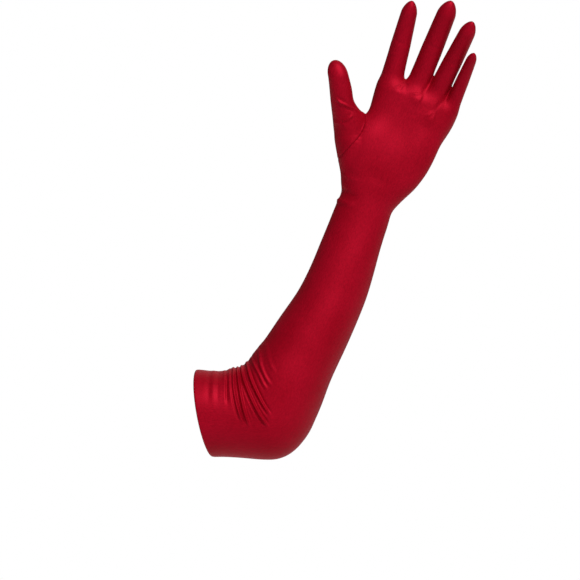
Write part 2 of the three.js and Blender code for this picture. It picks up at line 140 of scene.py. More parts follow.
# The thumb. at, shift and forward: shares of its length. width and depth: of its width. turn: of the
# section towards the seam.
THUMB_LENGTH = 73.6
THUMB_WIDTH = 20.6
THUMB_ANGLE = 36.9
THUMB_PITCH = 17.0
THUMB_ROOT = (-34.3, 51.2)
THUMB_TIP_FROM = 0.8
THUMB_TAIL = 14.0
THUMB = table("at shift forward width depth turn", [
    (-0.22, 0.0, 0.0, 2.1, 1.2, 46.9),
    (0.0, 0.0, 0.03, 2.26, 1.42, 46.9),
    (0.164, -0.034, 0.08, 1.75, 1.3, 36.3),
    (0.325, -0.041, 0.12, 1.3, 1.15, 26.5),
    (0.4375, -0.037, 0.156, 1.126, 1.05, 18.6),
    (0.643, -0.012, 0.217, 1.0, 0.95, -3.2),
    (0.8, -0.001, 0.26, 0.915, 0.84, -4.7),
])

# The thumb's seam in the hand's plane: u across the hand to the little finger, v along it from the wrist.
# Past the web it runs between the thumb and the index finger, and below its foot clear of the hand.
THUMB_SEAM = table("at u", [
    (0.0, -60.0), (18.0, -46.0), (30.0, -39.0), (42.0, -34.5), (51.6, -30.6), (60.0, -29.4), (67.0, -29.9),
    (74.0, -32.2), (84.0, -38.0), (95.0, -44.0), (130.0, -52.0), (240.0, -62.0),
])

# The seam's groove fades out past the web between these places along the hand
SEAM_FADES_FROM = 79.0
SEAM_TO = 84.0

# How far the thumb and the palm run into each other: at the heel of the hand and at the web. Then the
# same for the palm and the fingers, and for the fingers among themselves.
HEEL_REACH = 11.0
WEB_REACH = 1.5
FINGER_REACH = 9.5
DIGITS_REACH = 1.2

# Mounds (height above 0) and hollows of the palm's side, and knuckles of the back: place, reach, height
PALM_FORMS = [
    (-22.0, 50.0, 12.0, 24.0, 1.8),
    (25.0, 62.0, 11.0, 20.0, 1.1),
    (-14.0, 99.0, 9.0, 9.0, 0.8),
    (12.0, 97.0, 12.0, 10.0, 0.8),
    (33.0, 92.0, 8.0, 10.0, 0.8),
    (-12.0, 106.0, 6.0, 5.2, 1.2),
    (6.2, 106.5, 6.0, 5.6, 1.7),
    (24.6, 94.5, 5.4, 5.8, 1.5),
    (4.0, 74.0, 13.0, 18.0, -1.8),
    (0.0, 22.0, 10.0, 12.0, -1.0),
    (-24.4, 128.0, 4.6, 7.0, 0.5),
    (0.7, 139.5, 4.6, 7.0, 0.5),
    (20.0, 132.0, 4.6, 8.0, 0.4),
]
BACK_FORMS = [
    (-21.0, 103.0, 7.0, 9.0, 1.6),
    (0.0, 107.0, 7.0, 9.0, 1.8),
    (20.0, 103.0, 7.0, 9.0, 1.6),
    (37.0, 95.0, 6.5, 9.0, 1.2),
    (-10.5, 108.0, 4.0, 9.0, -0.8),
    (10.5, 108.0, 4.0, 9.0, -0.8),
    (29.0, 101.0, 4.0, 9.0, -0.8),
]


# Numbers

def curve(rows, key, at):
    """A smooth curve through one column of a table."""
    x, y = rows["at"], rows[key]
    last = len(x) - 1
    before = np.maximum(np.arange(last + 1) - 1, 0)
    after = np.minimum(np.arange(last + 1) + 1, last)
    slope = (y[after] - y[before]) / (x[after] - x[before])
    i = np.clip(np.searchsorted(x, at) - 1, 0, last - 1)
    step = x[i + 1] - x[i]
    t = np.clip((at - x[i]) / step, 0, 1)
    h = t * t * (3 - 2 * t)
    bend = slope[i] * t * (1 - t) ** 2 - slope[i + 1] * t * t * (1 - t)
    return y[i] * (1 - h) + y[i + 1] * h + step * bend


def ramp(x, low, high):
    t = np.clip((x - low) / (high - low), 0, 1)
    return t * t * (3 - 2 * t)


def unit(v):
    return v / np.maximum(np.linalg.norm(v, axis=-1, keepdims=True), 1e-9)


def blend_min(a, b, reach):
    """The smaller of two distances, rounded where they meet."""
    h = np.clip(0.5 + 0.5 * (b - a) / reach, 0, 1)
    return b * (1 - h) + a * h - reach * h * (1 - h)


def smoothed(rows, softness, step=0.5):
    """A table's columns at close stations, with their corners taken off."""
    at = np.arange(rows["at"][0] - 4 * softness, rows["at"][-1] + 4 * softness, step)
    away = np.arange(-3 * softness, 3 * softness + step / 2, step)
    weight = np.exp(-(away / softness) ** 2 / 2)
    weight /= weight.sum()
    half = len(away) // 2
    smooth = {"at": at}
    for key in rows:
        if key != "at":
            padded = np.pad(curve(rows, key, at), half, mode="edge")
            smooth[key] = np.convolve(padded, weight, mode="valid")
    return smooth


def smooth_line(points):
    """A line through points, with its corners rounded."""
    points = np.array(points, float)
    at = np.arange(len(points), dtype=float)
    fine = np.linspace(0, at[-1], 6 * len(points) - 5)
    return np.stack([curve(dict(at=at, place=column), "place", fine) for column in points.T], axis=-1)


def line_relief(flat, line):
    """The height of one fold or wrinkle over points (.., 2) in its plane, fading at its ends."""
    ends = smooth_line(line["points"])
    lengths = np.linalg.norm(np.diff(ends, axis=0), axis=1)
    best = np.full(flat.shape[:-1], 1e9)
    share = np.zeros(flat.shape[:-1])
    for k, (a, b) in enumerate(zip(ends, ends[1:])):
        t = np.clip(((flat - a) @ (b - a)) / lengths[k] ** 2, 0, 1)
        away = np.linalg.norm(flat - a - t[..., None] * (b - a), axis=-1)
        nearer = away < best
        best = np.where(nearer, away, best)
        share = np.where(nearer, (lengths[:k].sum() + t * lengths[k]) / lengths.sum(), share)
    start = line.get("start", 0.0)
    fade = (1 - ramp(share, line.get("full", 0.6), 1.0)) * (start + (1 - start) * ramp(share, 0.0, 0.3))
    away = best / line["width"]
    shape = np.exp(-away ** 1.6) - line.get("valley", 0.0) * np.exp(-((away - 2.2) / 1.1) ** 2)
    return line["height"] * shape * fade


# The sleeve

STATIONS = smoothed(SECTIONS, SECTION_SOFTNESS)


def centre_line(at):
    """Points (x, z) on the centre line."""
    turned = np.clip((at - UPPER_RUN) / ELBOW_RADIUS, 0, math.radians(ELBOW_ANGLE))
    before = np.minimum(at, UPPER_RUN)
    after = np.clip(at - UPPER_LENGTH, 0, FOREARM_RUN)
    in_hand = np.maximum(at - WRIST_AT, 0)
    hand = math.radians(ELBOW_ANGLE + HAND_LEAN)
    x = before + ELBOW_RADIUS * np.sin(turned) + after * np.cos(turned) + in_hand * math.cos(hand)
    z = ELBOW_RADIUS * (1 - np.cos(turned)) + after * np.sin(turned) + in_hand * math.sin(hand)
    return x, z


def section(at):
    return {key: np.interp(at, STATIONS["at"], STATIONS[key]) for key in STATIONS if key != "at"}


def sleeve_points(at, angle, inset=0.0):
    """Points of the sleeve and their places in the straightened cloth. angle: radians from the crook,
    positive on the palm's side."""
    x, z = centre_line(at)
    s = section(at)
    tilt = np.radians(s["tilt"])
    c, d = np.cos(angle), np.sin(angle)
    power = 2 / s["square"]
    middle = (s["thumb"] - s["little"]) / 2
    across = np.sign(c) * np.abs(c) ** power * ((s["thumb"] + s["little"]) / 2 - inset) + middle
    deep = np.sign(d) * np.abs(d) ** power * (s["depth"] / 2 - inset) + s["forward"]
    yaw = np.radians(s["yaw"])
    onwards = -deep * np.sin(yaw)
    points = np.stack([
        x - across * np.sin(tilt) + onwards * np.cos(tilt),
        -deep * np.cos(yaw),
        z + across * np.cos(tilt) + onwards * np.sin(tilt),
    ], axis=-1)
    return points, np.stack([at + 0 * angle, WRIST_SHIFT - across, -deep], axis=-1)


# Folds of the crook and the cuff as seen from the palm's side: (x, z) points. The back has the crook's too,
# slanted a little. start: share of its height where it begins, which is 0 unless it runs on over the crook.
# valley: depth of the dips beside it, a share of its height. full: share of its length up to which it keeps
# its height.
CROOK_FOLDS = [
    dict(height=1.7, width=0.95, valley=0.6, start=0.25, full=0.8,
         points=[(26.4, 46), (26.6, 38), (27.0, 25), (28.6, 14), (31.5, 2), (36, -10)]),
    dict(height=2.3, width=0.95, valley=0.6, start=0.25, full=0.8,
         points=[(30.2, 46), (30.4, 38), (31.8, 27), (34.4, 12), (38.0, -2), (42.5, -14)]),
    dict(height=2.4, width=0.95, valley=0.6, start=0.25, full=0.85,
         points=[(33.6, 46), (34.6, 38), (37.6, 27), (45.5, 9), (53, -4), (60, -13)]),
    dict(height=2.0, width=0.95, valley=0.6, start=0.25, full=0.8,
         points=[(38.4, 48), (40.4, 40), (43.6, 30), (48.5, 19), (55, 7), (62, -3)]),
    dict(height=1.2, width=1.1, valley=0.4, start=0.35, full=0.7,
         points=[(43.2, 51), (46.5, 44), (50.4, 37), (54.5, 28), (59, 20)]),
    dict(height=1.2, width=1.2, valley=0.4, start=0.35, full=0.7,
         points=[(50.2, 58), (51.2, 51), (52.8, 43), (57, 33), (63, 24)]),
    dict(height=0.5, width=1.4, valley=0.3, start=0.35, full=0.7,
         points=[(57.0, 64), (58.5, 54), (61.5, 45), (67, 35)]),
    dict(height=1.0, width=2.2, valley=0.2, start=0.5,
         points=[(23.2, 46), (23.4, 38), (23.9, 24), (25.0, 12), (26.5, 0)]),
]
CUFF_FOLDS = [
    dict(height=-2.0, width=1.3, points=[(20.7, 36), (20.3, 24), (20.9, 8)]),
    dict(height=0.8, width=1.3, start=0.5, points=[(17.4, 46), (18.3, 36), (18.9, 22), (18.4, 4)]),
    dict(height=-0.6, width=2.4, start=0.5, points=[(4.2, 46), (4.0, 28), (3.4, 4)]),
    dict(height=0.5, width=2.4, start=1.0, points=[(8.4, 46), (8.0, 28), (7.4, 4)]),
    dict(height=-0.6, width=2.4, start=0.5, points=[(12.8, 46), (12.4, 28), (11.8, 4)]),
    dict(height=-1.0, width=1.7, points=[(34.4, 24), (38.0, 12), (42.5, 0), (47, -14)]),
    dict(height=-0.8, width=1.5, points=[(38.4, 37), (41.4, 27), (46.8, 14), (55, 0)]),
    dict(height=-0.8, width=1.2, points=[(28.6, 38), (29.4, 27), (31.4, 15), (35, -2)]),
    dict(height=1.3, width=2.0, valley=0.2, start=1.0,
         points=[(120.0, 199.5), (125.0, 197.5), (132.0, 194.5), (142.0, 192)]),
    dict(height=-1.5, width=1.9, start=1.0,
         points=[(122.0, 208.5), (128.0, 206.5), (134.0, 203.5), (143.0, 200)]),
]
BACK_SLANT = 0.12
BACK_FROM = 44.0


def fold_relief(points, angle):
    """How far the folds stand out at each point of the sleeve's grid."""
    flat = points[..., (0, 2)]
    slanted = flat + BACK_SLANT * np.stack([flat[..., 1] - BACK_FROM, 0 * flat[..., 1]], axis=-1)
    palm_side = ramp(np.sin(angle), -0.12, 0.12)[None, :]
    relief = np.zeros(flat.shape[:-1])
    for line in CROOK_FOLDS + CUFF_FOLDS:
        relief += line_relief(flat, line) * palm_side
    for line in CROOK_FOLDS:
        relief += line_relief(slanted, line) * (1 - palm_side)
    return relief


def inner_inset(at):
    """How far the sleeve's inner surface is behind its outer one: more where the crook's folds dip."""
    room = FOLD_ROOM * ramp(at, 8.0, 16.0) * (1 - ramp(at, 95.0, 115.0))
    return np.where(at <= TURNED_EDGE_DEPTH, TURNED_EDGE, CLOTH + SLEEVE_GAP + room)


def held_back(relief, deepest):
    """Relief whose dips stay above a depth."""
    return np.where(relief < 0, deepest * np.tanh(relief / deepest), relief)


def soft_relief(at, angle):
    """The slow unevenness of worn cloth."""
    a = at[:, None]
    c = angle[None, :]
    waves = 0.26 * np.sin(a / 17.0 + 2.0 * np.sin(c)) * np.cos(c - 0.6)
    waves += 0.10 * np.sin(a / 9.5 + 3.0 * np.cos(c + 0.8))
    waves += 0.18 * np.sin(2 * c + a / 31.0) * np.cos(a / 23.0)
    return waves * ramp(a, 0.0, 12.0) * (1 - ramp(a, WRIST_AT - 25, WRIST_AT))


def grid_normals(points):
    along = np.gradient(points, axis=0)
    closed = np.concatenate([points[:, -1:], points, points[:, :1]], axis=1)
    around = (closed[:, 2:] - closed[:, :-2]) / 2
    return unit(np.cross(around, along))


def sleeve_rows():
    return np.concatenate([
        np.linspace(0.0, 4.0, 5),
        np.arange(5.2, 15.6, 1.2),
        np.arange(16.0, 68.0, 0.58),
        np.arange(68.0, 92.0, 1.0),
        np.linspace(92.0, WRIST_AT + JOIN_ABOVE_WRIST - 1.0, 112),
    ])


def sleeve_outside():
    at = sleeve_rows()
    angle = np.arange(SLEEVE_SIDES) * 2 * math.pi / SLEEVE_SIDES
    points, cloth = sleeve_points(at[:, None], angle[None, :])
    normals = grid_normals(points)
    out = normals * np.sign((normals * (points - points.mean(axis=1, keepdims=True))).sum(-1)).mean()
    deepest = inner_inset(at)[:, None] - SLEEVE_GAP
    relief = held_back(fold_relief(points, angle) + soft_relief(at, angle), deepest)
    rounded = EDGE_ROUNDING * (1 - ramp(at, 0.0, EDGE_ROUNDING_DEPTH))[:, None]
    side = (angle - math.pi)[None, :] * np.linalg.norm(points - points.mean(axis=1, keepdims=True), axis=-1)
    return points + out * (relief - rounded)[..., None], cloth, side


def sleeve_inside():
    at = np.concatenate([[0.4, TURNED_EDGE_DEPTH, TURNED_EDGE_DEPTH + 0.8], np.arange(8.0, WRIST_AT, 4.0),
                         [WRIST_AT + 5.0, WRIST_AT + JOIN_ABOVE_WRIST - 2.0]])
    angle = np.arange(INNER_SIDES) * 2 * math.pi / INNER_SIDES
    points, cloth = sleeve_points(at[:, None], angle[None, :], inner_inset(at)[:, None])
    return points, cloth


# The hand, in its own frame: u across it to the little finger, v along it from the wrist, y to the back

def hand_to_world(p):
    x, z = centre_line(np.array(WRIST_AT))
    hand = math.radians(ELBOW_ANGLE + HAND_LEAN)
    right = np.array([math.sin(hand), 0.0, -math.cos(hand)])
    up = np.array([math.cos(hand), 0.0, math.sin(hand)])
    start = np.array([x, 0.0, z]) - right * WRIST_SHIFT
    return start + p[..., :1] * right + p[..., 1:2] * up + p[..., 2:] * np.array([0.0, 1.0, 0.0])


def oval_distance(x, y, z, a, b, c, square=2.0, point=2.0):
    """About how far a point is from an oval section, which closes over a length c where z is above 0."""
    x, y, z = np.abs(x) / a, np.abs(y) / b, np.maximum(z, 0) / c
    flat = (x ** square + y ** square + 1e-12) ** (1 / square)
    reach = (flat ** point + z ** point) ** (1 / point)
    slope_x = flat ** (1 - square) * x ** (square - 1) / a
    slope_y = flat ** (1 - square) * y ** (square - 1) / b
    out = (flat / reach) ** (point - 1)
    on = (z / reach) ** (point - 1) / c
    slope = np.sqrt((slope_x ** 2 + slope_y ** 2) * out ** 2 + on ** 2)
    return (reach - 1) / np.maximum(slope, 1e-4)


def palm_distance(p):
    s = section(WRIST_AT + p[..., 1])
    left = WRIST_SHIFT - s["thumb"]
    right = WRIST_SHIFT + s["little"]
    return oval_distance(
        p[..., 0] - (left + right) / 2, p[..., 2] + s["forward"], p[..., 1] - (PALM_LENGTH - PALM_TOP),
        (right - left) / 2, s["depth"] / 2, PALM_TOP, s["square"])


def finger_place(finger, p):
    """Share of its length, across and depth of a point from a finger's centre line, which is an arc."""
    splay = math.radians(finger["splay"])
    root = math.radians(finger["root_curl"])
    radius = finger["length"] / math.radians(finger["tip_curl"] - finger["root_curl"])
    du = p[..., 0] - finger["across"]
    dv = p[..., 1] - (PALM_LENGTH - FINGER_SUNK)
    ahead = du * math.sin(splay) + dv * math.cos(splay) + radius * math.sin(root)
    forward = FINGER_BACKSET - p[..., 2] - radius * math.cos(root)
    turned = np.arctan2(ahead, -forward) - root
    return (
        turned * radius / finger["length"],
        du * math.cos(splay) - dv * math.sin(splay),
        np.hypot(ahead, forward) - radius,
    )


def finger_distance(finger, p):
    share, across, deep = finger_place(finger, p)
    taper = finger["root"] + (finger["tip"] - finger["root"]) * np.clip(share, 0, 1)
    half = taper / 2 * curve(FINGER_OUTLINE, "width", share)
    past = (share - FINGER_TIP_FROM) * finger["length"]
    before = -share * finger["length"] - FINGER_TAIL_FROM
    end = np.where(share > 0.5, past, before)
    close = np.where(share > 0.5, (1 - FINGER_TIP_FROM) * finger["length"], FINGER_TAIL)
    return oval_distance(across, deep, end, half, half * FINGER_DEPTH_RATIO, close, 2.0, FINGER_TIP_POWER)


def thumb_place(p):
    """Share of its length, across and depth of a point from the thumb's centre line."""
    tilt = math.radians(90 + THUMB_ANGLE)
    du, dv = p[..., 0] - THUMB_ROOT[0], p[..., 1] - THUMB_ROOT[1]
    ahead = du * math.cos(tilt) + dv * math.sin(tilt)
    aside = du * math.sin(tilt) - dv * math.cos(tilt)
    found = np.full(ahead.shape, THUMB["at"][0])
    before = np.ones(ahead.shape)
    shares = np.linspace(THUMB["at"][0], 1.15, 60)
    for share in shares:
        above = section_above(share, ahead, aside, p[..., 2])
        crossed = (before > 0) & (above <= 0)
        within = before / np.maximum(before - above, 1e-9)
        found = np.where(crossed, share - (1 - within) * (shares[1] - shares[0]), found)
        found = np.where(above > 0, share, found)
        before = above
    centre, turn, pitch = thumb_frame(found)
    e, s, y = ahead - centre[0], aside - centre[1], p[..., 2] - centre[2]
    across = e * np.sin(turn) + s * np.cos(turn)
    deep = e * np.sin(pitch) + y * np.cos(pitch)
    return found, across, deep


def thumb_frame(share):
    centre = (
        share * THUMB_LENGTH,
        curve(THUMB, "shift", share) * THUMB_LENGTH,
        -curve(THUMB, "forward", share) * THUMB_LENGTH,
    )
    pitch = math.radians(THUMB_PITCH) * np.clip(share / 0.3, 0, 1)
    return centre, np.radians(curve(THUMB, "turn", share)), pitch


def section_above(share, ahead, aside, y):
    """How far a point is past the thumb's section at a share of its length."""
    centre, turn, pitch = thumb_frame(np.array(share))
    e, s, y = ahead - centre[0], aside - centre[1], y - centre[2]
    return (e * np.cos(turn) - s * np.sin(turn)) * np.cos(pitch) - y * np.cos(turn) * np.sin(pitch)


def thumb_distance(p):
    share, across, deep = thumb_place(p)
    a = curve(THUMB, "width", share) * THUMB_WIDTH / 2
    b = curve(THUMB, "depth", share) * THUMB_WIDTH / 2
    end = np.where(share > 0, share - THUMB_TIP_FROM, -share) * THUMB_LENGTH
    close = np.where(share > 0, (1 - THUMB_TIP_FROM) * THUMB_LENGTH, THUMB_TAIL)
    return oval_distance(across, deep, end, a, b, close)


def forms(p, rows):
    total = 0.0
    for u, v, reach_u, reach_v, height in rows:
        total = total + height * np.exp(-((p[..., 0] - u) / reach_u) ** 2 - ((p[..., 1] - v) / reach_v) ** 2)
    return total


def hand_distance(p):
    """Distance of points from the hand's surface, negative inside."""
    digits = None
    for finger in FINGERS.values():
        away = finger_distance(finger, p)
        digits = away if digits is None else blend_min(digits, away, DIGITS_REACH)
    near_thumb = (p[..., 0] < -8) & (p[..., 1] > 8) & (p[..., 1] < 150)
    thumb = np.full(p.shape[:-1], 30.0)
    thumb[near_thumb] = thumb_distance(p[near_thumb])
    whole = blend_min(palm_distance(p), digits, FINGER_REACH)
    reach = WEB_REACH + (HEEL_REACH - WEB_REACH) * (1 - ramp(p[..., 1], 42.0, 62.0))
    whole = blend_min(whole, thumb, reach)
    on_palm = ramp(-p[..., 2], -2.0, 8.0)
    past_wrist = ramp(p[..., 1], JOIN_ABOVE_WRIST, JOIN_ABOVE_WRIST + 14)
    return whole - (forms(p, PALM_FORMS) * on_palm + forms(p, BACK_FORMS) * (1 - on_palm)) * past_wrist


def hand_grid(step):
    """Distances on a grid, worked out closely only near the surface."""
    low = np.array(HAND_LOW)
    axes = [np.arange(a, b, step) for a, b in zip(HAND_LOW, HAND_HIGH)]
    p = np.stack(np.meshgrid(*axes, indexing="ij"), axis=-1)
    rough = hand_distance(p[::4, ::4, ::4])
    away = rough.repeat(4, 0).repeat(4, 1).repeat(4, 2)[:p.shape[0], :p.shape[1], :p.shape[2]]
    near = np.abs(away) < 7 * step + 3
    away[near] = hand_distance(p[near])
    return low, away


def hand_skin(step, inset):
    """Points and faces of the hand's surface, or of one inset from it."""
    low, away = hand_grid(step)
    grid = openvdb.FloatGrid(100.0)
    grid.copyFromArray(away.astype(np.float32))
    points, triangles, quads = grid.convertToPolygons(-inset, 0.0)
    faces = [tuple(int(i) for i in f) for f in triangles] + [tuple(int(i) for i in f) for f in quads]
    return low + np.asarray(points, float) * step, faces


def to_bmesh(points, faces):
    bm = bmesh.new()
    made = [bm.verts.new(p) for p in points]
    for face in faces:
        bm.faces.new([made[i] for i in face])
    return bm


def seam_offset(p):
    """Signed distance in u from the thumb's seam."""
    return p[..., 0] - curve(THUMB_SEAM, "u", p[..., 1])


def shear(bm, sign):
    p = np.array([v.co for v in bm.verts])
    u = curve(THUMB_SEAM, "u", p[:, 1])
    for v, shift in zip(bm.verts, u):
        v.co.x += sign * shift


def cut(bm, point, normal, clear=False):
    everything = bm.verts[:] + bm.edges[:] + bm.faces[:]
    bmesh.ops.bisect_plane(bm, geom=everything, dist=1e-4, plane_co=point, plane_no=normal, clear_inner=clear)


def loops_of(faces):
    """Border loops of a surface, each a list of point numbers."""
    uses = {}
    for face in faces:
        for a, b in zip(face, face[1:] + face[:1]):
            uses[(a, b)] = uses.get((a, b), 0) + 1
    step = {a: b for (a, b) in uses if (b, a) not in uses}
    loops = []
    while step:
        start, b = step.popitem()
        loop = [start]
        while b != start and b in step:
            loop.append(b)
            b = step.pop(b)
        loops.append(loop)
    return loops


def hand_pieces(step, inset):
    """The palm's and the thumb's part of a surface: points and faces each, cut above the wrist."""
    bm = to_bmesh(*hand_skin(step, inset))
    cut(bm, (0, JOIN_ABOVE_WRIST, 0), (0, 1, 0), clear=True)
    shear(bm, -1)
    cut(bm, (0, 0, 0), (1, 0, 0))
    shear(bm, 1)
    bmesh.ops.triangulate(bm, faces=[f for f in bm.faces if len(f.verts) > 4])
    on_thumb = {f: seam_offset(np.array(f.calc_center_median())) < 0 for f in bm.faces}
    pieces = []
    for wanted in (False, True):
        faces = [[v.index for v in f.verts] for f in bm.faces if on_thumb[f] == wanted]
        used = sorted({i for f in faces for i in f})
        bm.verts.ensure_lookup_table()
        number = {i: k for k, i in enumerate(used)}
        points = np.array([bm.verts[i].co for i in used])
        pieces.append((points, [[number[i] for i in f] for f in faces]))
    bm.free()
    return pieces


def vertex_normals(points, faces):
    normals = np.zeros_like(points)
    for size in (3, 4):
        f = np.array([face for face in faces if len(face) == size])
        if len(f) == 0:
            continue
        across = np.cross(points[f[:, 2]] - points[f[:, 0]], points[f[:, -1]] - points[f[:, 1]])
        for k in range(size):
            np.add.at(normals, f[:, k], across)
    return unit(normals)


# Creases and ridges of the hand, in its plane: side -1 is the palm's, 1 the back's
WRINKLES = [
    dict(side=-1, height=2.1, width=1.0, valley=0.5,
         points=[(-65.0, 77.5), (-56.0, 75.6), (-47.1, 75.3), (-39.0, 74.4)]),
    dict(side=-1, height=1.5, width=1.0, valley=0.4, points=[(-52.0, 60.5), (-47.2, 63.1), (-42.0, 70.4)]),
    dict(side=-1, height=0.6, width=1.8, points=[(-60.0, 56.0), (-50.0, 58.0), (-40.0, 57.0)]),
    dict(side=-1, height=0.45, width=1.0, valley=0.3,
         points=[(-10.9, 118.0), (-13.0, 112.0), (-18.5, 107.0)]),
    dict(side=-1, height=0.45, width=1.0, valley=0.3, points=[(-10.0, 118.0), (-9.6, 111.0), (-7.5, 103.0)]),
    dict(side=-1, height=0.45, width=1.0, valley=0.3, points=[(8.2, 113.5), (3.2, 110.5), (-2.0, 109.0)]),
    dict(side=-1, height=0.45, width=1.0, valley=0.3, points=[(8.6, 113.0), (8.8, 107.0), (6.5, 100.0)]),
    dict(side=-1, height=0.45, width=1.0, valley=0.3, points=[(25.0, 102.5), (22.0, 97.0), (17.5, 94.0)]),
    dict(side=-1, height=0.45, width=1.0, valley=0.3, points=[(25.4, 102.5), (27.0, 96.0), (26.4, 88.0)]),
    dict(side=-1, height=-1.2, width=1.4, full=0.7, start=1.0,
         points=[(12.8, 131.0), (10.6, 121.0), (8.2, 112.0)]),
    dict(side=-1, height=-1.2, width=1.4, full=0.7, start=1.0,
         points=[(32.2, 131.0), (29.4, 117.0), (24.8, 101.0)]),
    dict(side=1, height=0.6, width=1.4, points=[(-10.5, 120.0), (-11.0, 110.0), (-14.0, 100.0)]),
    dict(side=1, height=0.6, width=1.4, points=[(10.5, 120.0), (10.0, 110.0), (7.0, 98.0)]),
    dict(side=1, height=0.6, width=1.4, points=[(30.0, 118.0), (29.0, 108.0), (26.0, 96.0)]),
    dict(side=-1, height=0.6, width=1.6, points=[(-33.0, 17.0), (-22.0, 14.5), (-10.0, 16.0)]),
    dict(side=-1, height=-0.5, width=1.3, points=[(-36.0, 150.0), (-28.5, 148.5), (-19.0, 149.0)]),
    dict(side=-1, height=-0.45, width=1.3, points=[(-8.0, 158.0), (1.0, 156.5), (10.5, 157.0)]),
    dict(side=-1, height=-0.45, width=1.3, points=[(14.0, 150.0), (23.0, 149.0), (31.0, 150.0)]),
]


def hand_relief(p, normals):
    relief = np.zeros(len(p))
    for line in WRINKLES:
        faces_side = ramp(normals[:, 2] * line["side"], 0.1, 0.5)
        relief += line_relief(p[:, :2], line) * faces_side
    seam = np.abs(seam_offset(p))
    pucker = 0.10 * np.sin(2 * math.pi * p[:, 1] / 4.6) * np.exp(-(seam / 3.0) ** 2)
    groove = 0.1 * np.exp(-((seam - 2.2) / 1.2) ** 2) - 0.15 * np.exp(-(seam / 0.8) ** 2)
    below_web = ramp(-p[:, 1], -SEAM_TO, -SEAM_FADES_FROM)
    return held_back(relief + (pucker + groove) * below_web, HAND_DIP)


def seam_places(p):
    """Distance of points from the seam round the hand and up its fingers' sides, positive on the back. The
    cloth has a fold and no seam on the index finger's outer side, where the distance grows instead."""
    s = section(WRIST_AT + p[:, 1])
    nearest = palm_distance(p)
    deep = p[:, 2] + s["forward"]
    clear = np.maximum(-p[:, 0], 0)
    for name, finger in FINGERS.items():
        away = finger_distance(finger, p)
        across, finger_deep = finger_place(finger, p)[1:]
        closer = away < nearest
        deep = np.where(closer, finger_deep, deep)
        clear = np.where(closer, np.maximum(-across - 1.0, 0) if name == "index" else 0.0, clear)
        nearest = np.minimum(nearest, away)
    return signed(deep, np.abs(deep) + clear)


def signed(side, distance):
    """A distance with the sign of the side that a point is on."""
    return np.where(side < 0, -distance, distance)


# Meshes

def zip_loops(points, a, b):
    """Triangles between two rings of points, each sorted by its angle round their middle."""
    middle = points[a].mean(axis=0)
    axes = np.linalg.svd(points[a] - middle)[2][:2]

    def sorted_ring(loop):
        flat = (points[loop] - middle) @ axes.T
        turn = np.arctan2(flat[:, 1], flat[:, 0])
        order = np.argsort(turn)
        return np.array(loop)[order], turn[order]

    a, turn_a = sorted_ring(a)
    b, turn_b = sorted_ring(b)
    start = int(np.argmin(np.abs(np.angle(np.exp(1j * (turn_b - turn_a[0]))))))
    b = np.roll(b, -start)
    turn_a = np.unwrap(np.append(turn_a, turn_a[0]))
    turn_b = np.unwrap(np.append(np.roll(turn_b, -start), turn_b[start]))
    turn_b += 2 * math.pi * round((turn_a[0] - turn_b[0]) / (2 * math.pi))
    faces, i, j = [], 0, 0
    while i < len(a) or j < len(b):
        if j == len(b) or (i < len(a) and turn_a[i + 1] <= turn_b[j + 1]):
            faces.append([int(a[i]), int(a[(i + 1) % len(a)]), int(b[j % len(b)])])
            i += 1
        else:
            faces.append([int(a[i % len(a)]), int(b[(j + 1) % len(b)]), int(b[j])])
            j += 1
    return faces


def grid_faces(rows, sides, first=0):
    faces = []
    for r in range(rows - 1):
        for c in range(sides):
            d = (c + 1) % sides
            a, b = first + r * sides, first + (r + 1) * sides
            faces.append([a + c, a + d, b + d, b + c])
    return faces


class Parts:
    """Surfaces gathered into one mesh, with what the material reads at each point."""

    def __init__(self):
        self.points, self.cloth, self.seam, self.faces, self.inner = [], [], [], [], []
        self.count = 0

    def add(self, points, cloth, seam, faces, inner=False):
        first = self.count
        self.points.append(points)
        self.cloth.append(cloth)
        self.seam.append(seam)
        self.faces += [[first + i for i in f] for f in faces]
        self.inner += [inner] * len(faces)
        self.count += len(points)
        return first

    def zip(self, a, b, inner=False):
        made = zip_loops(np.concatenate(self.points), a, b)
        self.faces += made
        self.inner += [inner] * len(made)

    def build(self, name):
        mesh = bpy.data.meshes.new(name)
        mesh.from_pydata((np.concatenate(self.points) * MM).tolist(), [], self.faces)
        mesh.polygons.foreach_set("material_index", [int(i) for i in self.inner])
        mesh.polygons.foreach_set("use_smooth", [True] * len(self.faces))
        cloth = mesh.attributes.new("cloth", "FLOAT_VECTOR", "POINT")
        cloth.data.foreach_set("vector", (np.concatenate(self.cloth) * MM).ravel())
        seam = mesh.attributes.new("seam", "FLOAT", "POINT")
        seam.data.foreach_set("value", np.concatenate(self.seam))
        bm = bmesh.new()
        bm.from_mesh(mesh)
        bmesh.ops.recalc_face_normals(bm, faces=bm.faces[:])
        bm.to_mesh(mesh)
        bm.free()
        obj = bpy.data.objects.new(name, mesh)
        bpy.context.scene.collection.objects.link(obj)
        return obj


def hand_cloth(p):
    return np.stack([WRIST_AT + p[:, 1], p[:, 0], p[:, 2]], axis=-1)


def dressed(p, faces):
    """A hand surface with its wrinkles and seam grooves."""
    normals = vertex_normals(p, faces)
    if (normals * (p - p.mean(axis=0))).sum(axis=1).mean() < 0:
        normals = -normals
    return p + normals * hand_relief(p, normals)[:, None]


def thumb_seam_places(p):
    across, deep = thumb_place(p)[1:]
    side = np.abs(deep) + np.maximum(-across - 1.0, 0)
    return signed(deep, np.minimum(np.abs(seam_offset(p)), side))


